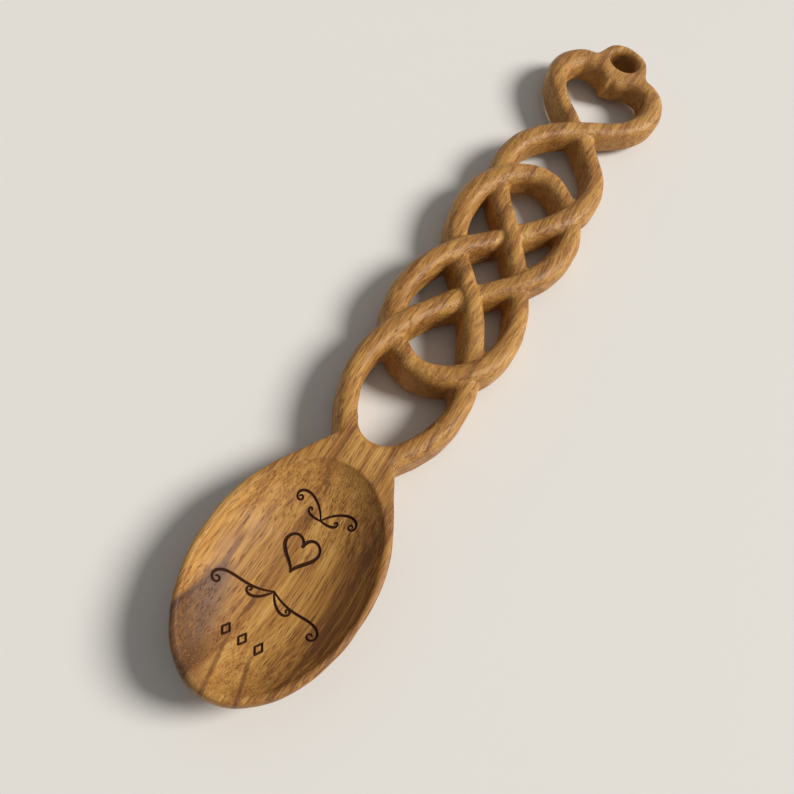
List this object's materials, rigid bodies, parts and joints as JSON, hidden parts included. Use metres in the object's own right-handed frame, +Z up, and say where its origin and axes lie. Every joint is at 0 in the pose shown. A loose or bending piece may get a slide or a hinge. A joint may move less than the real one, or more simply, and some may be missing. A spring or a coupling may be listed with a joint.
{
  "type": "carved love spoon",
  "caption": "Carved hardwood love spoon: oval bowl, forked neck, openwork interlaced knot, open heart and a ring to hang it by.",
  "frame": {"origin": "on the resting plane, half-way along the spoon on its middle line", "axes": "+Y along the spoon from the bowl to the hanging ring, +X across it, +Z up out of the bowl's hollow"},
  "size_m": [0.0364, 0.2254, 0.0106],
  "materials": {
    "wood": "satin oiled"
  },
  "bodies": {
    "root": {"bowl": "wood", "neck": "wood", "left_loop": "wood", "right_loop": "wood", "bottom_arch": "wood", "lower_diagonal": "wood", "lower_left_bow": "wood", "upper_right_bow": "wood", "upper_diagonal": "wood", "upper_right_strand": "wood", "top_arch": "wood", "heart_left_lobe": "wood", "heart_right_lobe": "wood", "hanging_ring": "wood"}
  },
  "joints": []
}
